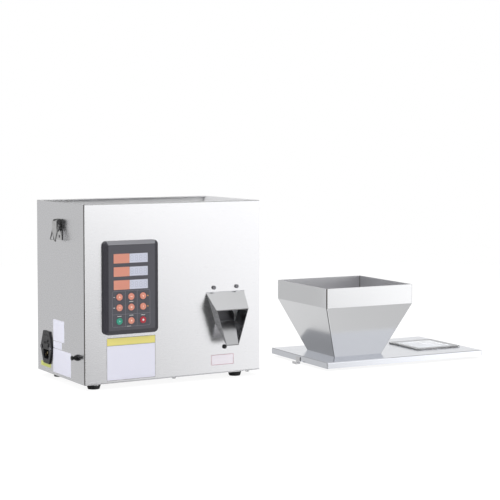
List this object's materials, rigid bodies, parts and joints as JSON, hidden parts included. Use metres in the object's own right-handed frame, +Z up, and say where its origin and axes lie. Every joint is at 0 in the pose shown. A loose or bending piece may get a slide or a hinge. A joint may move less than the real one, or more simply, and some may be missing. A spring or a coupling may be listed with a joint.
{
  "type": "weighing filling machine",
  "caption": "Table-top weighing and filling machine: square hopper on a lift-off lid, vibrating feed trough, weigh bucket with a gate, front discharge chute and a keypad unit.",
  "frame": {"origin": "middle of the whole set's footprint at the height of the table top", "axes": "+Z up, the machine's front with keypad and chute looks along -Y, +X to the right seen from the front, towards the lid that stands beside the cabinet"},
  "size_m": [0.8406, 0.2596, 0.315],
  "materials": {
    "stainless_steel": "brushed",
    "black_rubber": "matte",
    "steel_fastener": "polished",
    "housing_plastic": "matte",
    "overlay_film": "satin",
    "display_grey": "gloss",
    "orange_key": "gloss",
    "green_key": "gloss",
    "red_key": "gloss",
    "circuit_board": "satin",
    "black_plastic": "satin",
    "plated_steel": "polished",
    "brass_pin": "polished",
    "cast_iron": "painted",
    "coil_tape": "satin",
    "aluminium": "satin",
    "clear_acrylic": "clear"
  },
  "bodies": {
    "cabinet": {"front_panel": "stainless_steel", "outer_casing": "stainless_steel", "base_plate": "stainless_steel", "discharge_chute": "stainless_steel", "weigh_bucket": "stainless_steel", "inner_chute": "stainless_steel", "feeder_stand": "stainless_steel", "cell_bracket": "stainless_steel", "leaf_springs": "stainless_steel", "foot_front_left": "black_rubber", "foot_front_right": "black_rubber", "foot_back_left": "black_rubber", "foot_back_right": "black_rubber", "isolators": "black_rubber", "foot_screws": "steel_fastener", "edge_screws": "steel_fastener", "chute_screws": "steel_fastener", "inlet_screws": "steel_fastener", "latch_rivets": "steel_fastener", "control_housing": "housing_plastic", "keypad_overlay": "overlay_film", "display_modules": "display_grey", "control_board": "circuit_board", "key_switches": "circuit_board", "power_board": "circuit_board", "power_inlet": "black_plastic", "pedal_socket": "black_plastic", "bag_sensor": "black_plastic", "socket_nut": "plated_steel", "latch_base_left": "plated_steel", "latch_base_right": "plated_steel", "gate_motor": "plated_steel", "inlet_pins": "brass_pin", "vibrator_base": "cast_iron", "magnet_core": "cast_iron", "magnet_coil": "coil_tape", "load_cell": "aluminium"},
    "lid": {"lid_plate": "stainless_steel", "hopper": "stainless_steel", "inspection_window": "clear_acrylic", "lid_keepers": "stainless_steel"},
    "trough": {"feed_trough": "stainless_steel"},
    "rocker": {"rocker_switch": "black_plastic"},
    "drawer": {"fuse_drawer": "black_plastic"},
    "plug": {"dust_plug": "black_plastic"},
    "lever_left": {"latch_lever_left": "plated_steel"},
    "lever_right": {"latch_lever_right": "plated_steel"},
    "loop_left": {"latch_loop_left": "plated_steel"},
    "loop_right": {"latch_loop_right": "plated_steel"},
    "gate": {"bucket_gate": "stainless_steel"},
    "crank": {"gate_crank": "plated_steel"},
    "key_top_left": {"key_top_left": "orange_key"},
    "key_top_middle": {"key_top_middle": "orange_key"},
    "key_top_right": {"key_top_right": "orange_key"},
    "key_middle_left": {"key_middle_left": "orange_key"},
    "key_middle_middle": {"key_middle_middle": "orange_key"},
    "key_middle_right": {"key_middle_right": "orange_key"},
    "key_bottom_left": {"key_bottom_left": "green_key"},
    "key_bottom_middle": {"key_bottom_middle": "orange_key"},
    "key_bottom_right": {"key_bottom_right": "red_key"}
  },
  "joints": [
    {"name": "lid_lift", "type": "slide", "parent": "cabinet", "child": "lid", "axis": [0, 0, 1], "range_m": [0, 0.33]},
    {"name": "trough_shake", "type": "slide", "parent": "cabinet", "child": "trough", "axis": [0.9397, 0, 0.342], "range_m": [-0.0005, 0.0005], "stiffness_N_per_m": 60000},
    {"name": "rocker_tilt", "type": "hinge", "parent": "cabinet", "child": "rocker", "pos_m": [-0.40679, 0.08279, 0.0706], "axis": [0, -1, 0], "range_deg": [0, 16]},
    {"name": "drawer_slide", "type": "slide", "parent": "cabinet", "child": "drawer", "axis": [-1, 0, 0], "range_m": [0, 0.022]},
    {"name": "plug_pull", "type": "slide", "parent": "cabinet", "child": "plug", "axis": [-1, 0, 0], "range_m": [0, 0.016]},
    {"name": "lever_left_swing", "type": "hinge", "parent": "cabinet", "child": "lever_left", "pos_m": [-0.41149, 0.02379, 0.283], "axis": [0, 1, 0], "range_deg": [0, 110]},
    {"name": "lever_right_swing", "type": "hinge", "parent": "cabinet", "child": "lever_right", "pos_m": [-0.05849, 0.02379, 0.283], "axis": [0, -1, 0], "range_deg": [0, 110]},
    {"name": "loop_left_swing", "type": "hinge", "parent": "lever_left", "child": "loop_left", "pos_m": [-0.41249, 0.02379, 0.276], "axis": [0, -1, 0], "range_deg": [-163, 0]},
    {"name": "loop_right_swing", "type": "hinge", "parent": "lever_right", "child": "loop_right", "pos_m": [-0.05749, 0.02379, 0.276], "axis": [0, 1, 0], "range_deg": [-163, 0]},
    {"name": "crank_turn", "type": "hinge", "parent": "cabinet", "child": "crank", "pos_m": [-0.09599, 0.04579, 0.2057], "axis": [1, 0, 0], "range_deg": [0, 50]},
    {"name": "gate_swing", "type": "hinge", "parent": "cabinet", "child": "gate", "pos_m": [-0.13549, 0.04579, 0.211], "axis": [1, 0, 0], "range_deg": [0, 50]},
    {"name": "key_top_left_press", "type": "slide", "parent": "cabinet", "child": "key_top_left", "axis": [0, 1, 0], "range_m": [0, 0.0005], "stiffness_N_per_m": 900, "springref_m": -0.0005},
    {"name": "key_top_middle_press", "type": "slide", "parent": "cabinet", "child": "key_top_middle", "axis": [0, 1, 0], "range_m": [0, 0.0005], "stiffness_N_per_m": 900, "springref_m": -0.0005},
    {"name": "key_top_right_press", "type": "slide", "parent": "cabinet", "child": "key_top_right", "axis": [0, 1, 0], "range_m": [0, 0.0005], "stiffness_N_per_m": 900, "springref_m": -0.0005},
    {"name": "key_middle_left_press", "type": "slide", "parent": "cabinet", "child": "key_middle_left", "axis": [0, 1, 0], "range_m": [0, 0.0005], "stiffness_N_per_m": 900, "springref_m": -0.0005},
    {"name": "key_middle_middle_press", "type": "slide", "parent": "cabinet", "child": "key_middle_middle", "axis": [0, 1, 0], "range_m": [0, 0.0005], "stiffness_N_per_m": 900, "springref_m": -0.0005},
    {"name": "key_middle_right_press", "type": "slide", "parent": "cabinet", "child": "key_middle_right", "axis": [0, 1, 0], "range_m": [0, 0.0005], "stiffness_N_per_m": 900, "springref_m": -0.0005},
    {"name": "key_bottom_left_press", "type": "slide", "parent": "cabinet", "child": "key_bottom_left", "axis": [0, 1, 0], "range_m": [0, 0.0005], "stiffness_N_per_m": 900, "springref_m": -0.0005},
    {"name": "key_bottom_middle_press", "type": "slide", "parent": "cabinet", "child": "key_bottom_middle", "axis": [0, 1, 0], "range_m": [0, 0.0005], "stiffness_N_per_m": 900, "springref_m": -0.0005},
    {"name": "key_bottom_right_press", "type": "slide", "parent": "cabinet", "child": "key_bottom_right", "axis": [0, 1, 0], "range_m": [0, 0.0005], "stiffness_N_per_m": 900, "springref_m": -0.0005}
  ],
  "couplings": [
    {"joint": "gate_swing", "follows": "crank_turn", "ratio": 1}
  ]
}
